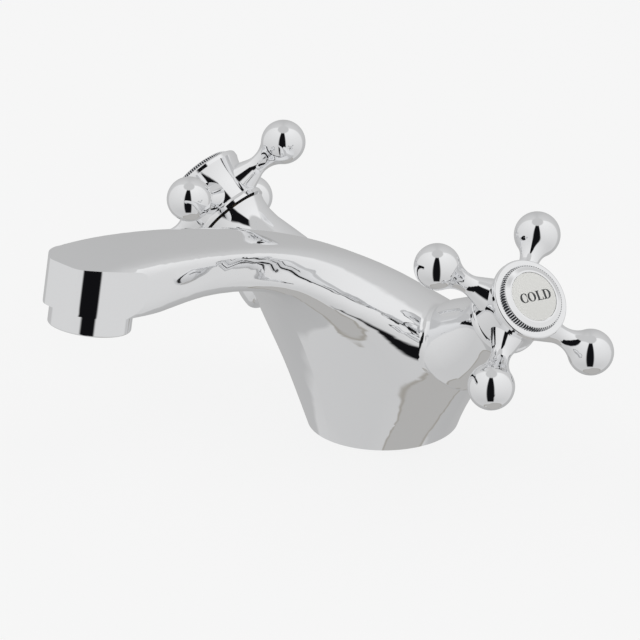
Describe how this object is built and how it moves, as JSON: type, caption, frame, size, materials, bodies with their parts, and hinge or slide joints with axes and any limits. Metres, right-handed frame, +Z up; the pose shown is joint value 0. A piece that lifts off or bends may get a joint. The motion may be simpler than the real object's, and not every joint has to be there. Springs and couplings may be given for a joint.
{
  "type": "basin mixer tap",
  "caption": "Chrome basin mixer tap with a curved spout and two quarter-turn cross handles with ball-ended arms, hot on the left and cold on the right.",
  "frame": {"origin": "centre of the base where it meets the basin deck", "axes": "+Z up, spout towards -Y, cold valve on the +X side and hot valve on the -X side"},
  "size_m": [0.1783, 0.1673, 0.0961],
  "materials": {
    "chrome": "polished",
    "plain_brass": "machined",
    "spring_steel": "brushed",
    "white_ceramic": "lapped",
    "index_white": "glossy",
    "white_plastic": "moulded",
    "black_rubber": "matte"
  },
  "bodies": {
    "tap_body": {"body_casting": "chrome", "base_seal": "black_rubber", "aerator_housing": "chrome", "aerator_insert": "white_plastic", "aerator_gasket": "black_rubber", "hot_valve_body": "plain_brass", "hot_valve_washer": "black_rubber", "hot_seat_seal": "black_rubber", "hot_fixed_disc": "white_ceramic", "cold_valve_body": "plain_brass", "cold_valve_washer": "black_rubber", "cold_seat_seal": "black_rubber", "cold_fixed_disc": "white_ceramic"},
    "hot_turning": {"hot_moving_disc": "white_ceramic", "hot_spindle": "plain_brass", "hot_spindle_orings": "black_rubber", "hot_circlip": "spring_steel", "hot_handle": "chrome", "hot_handle_screw": "spring_steel", "hot_index_ring": "chrome", "hot_index_disc": "index_white"},
    "cold_turning": {"cold_moving_disc": "white_ceramic", "cold_spindle": "plain_brass", "cold_spindle_orings": "black_rubber", "cold_circlip": "spring_steel", "cold_handle": "chrome", "cold_handle_screw": "spring_steel", "cold_index_ring": "chrome", "cold_index_disc": "index_white"}
  },
  "joints": [
    {"name": "hot_handle_turn", "type": "hinge", "parent": "tap_body", "child": "hot_turning", "pos_m": [-0.06657, -0.00988, 0.06251], "axis": [-0.7625, -0.0958, 0.6398], "range_deg": [0, 90]},
    {"name": "cold_handle_turn", "type": "hinge", "parent": "tap_body", "child": "cold_turning", "pos_m": [0.06657, -0.00988, 0.06251], "axis": [0.7625, -0.0958, 0.6398], "range_deg": [-90, 0]}
  ]
}
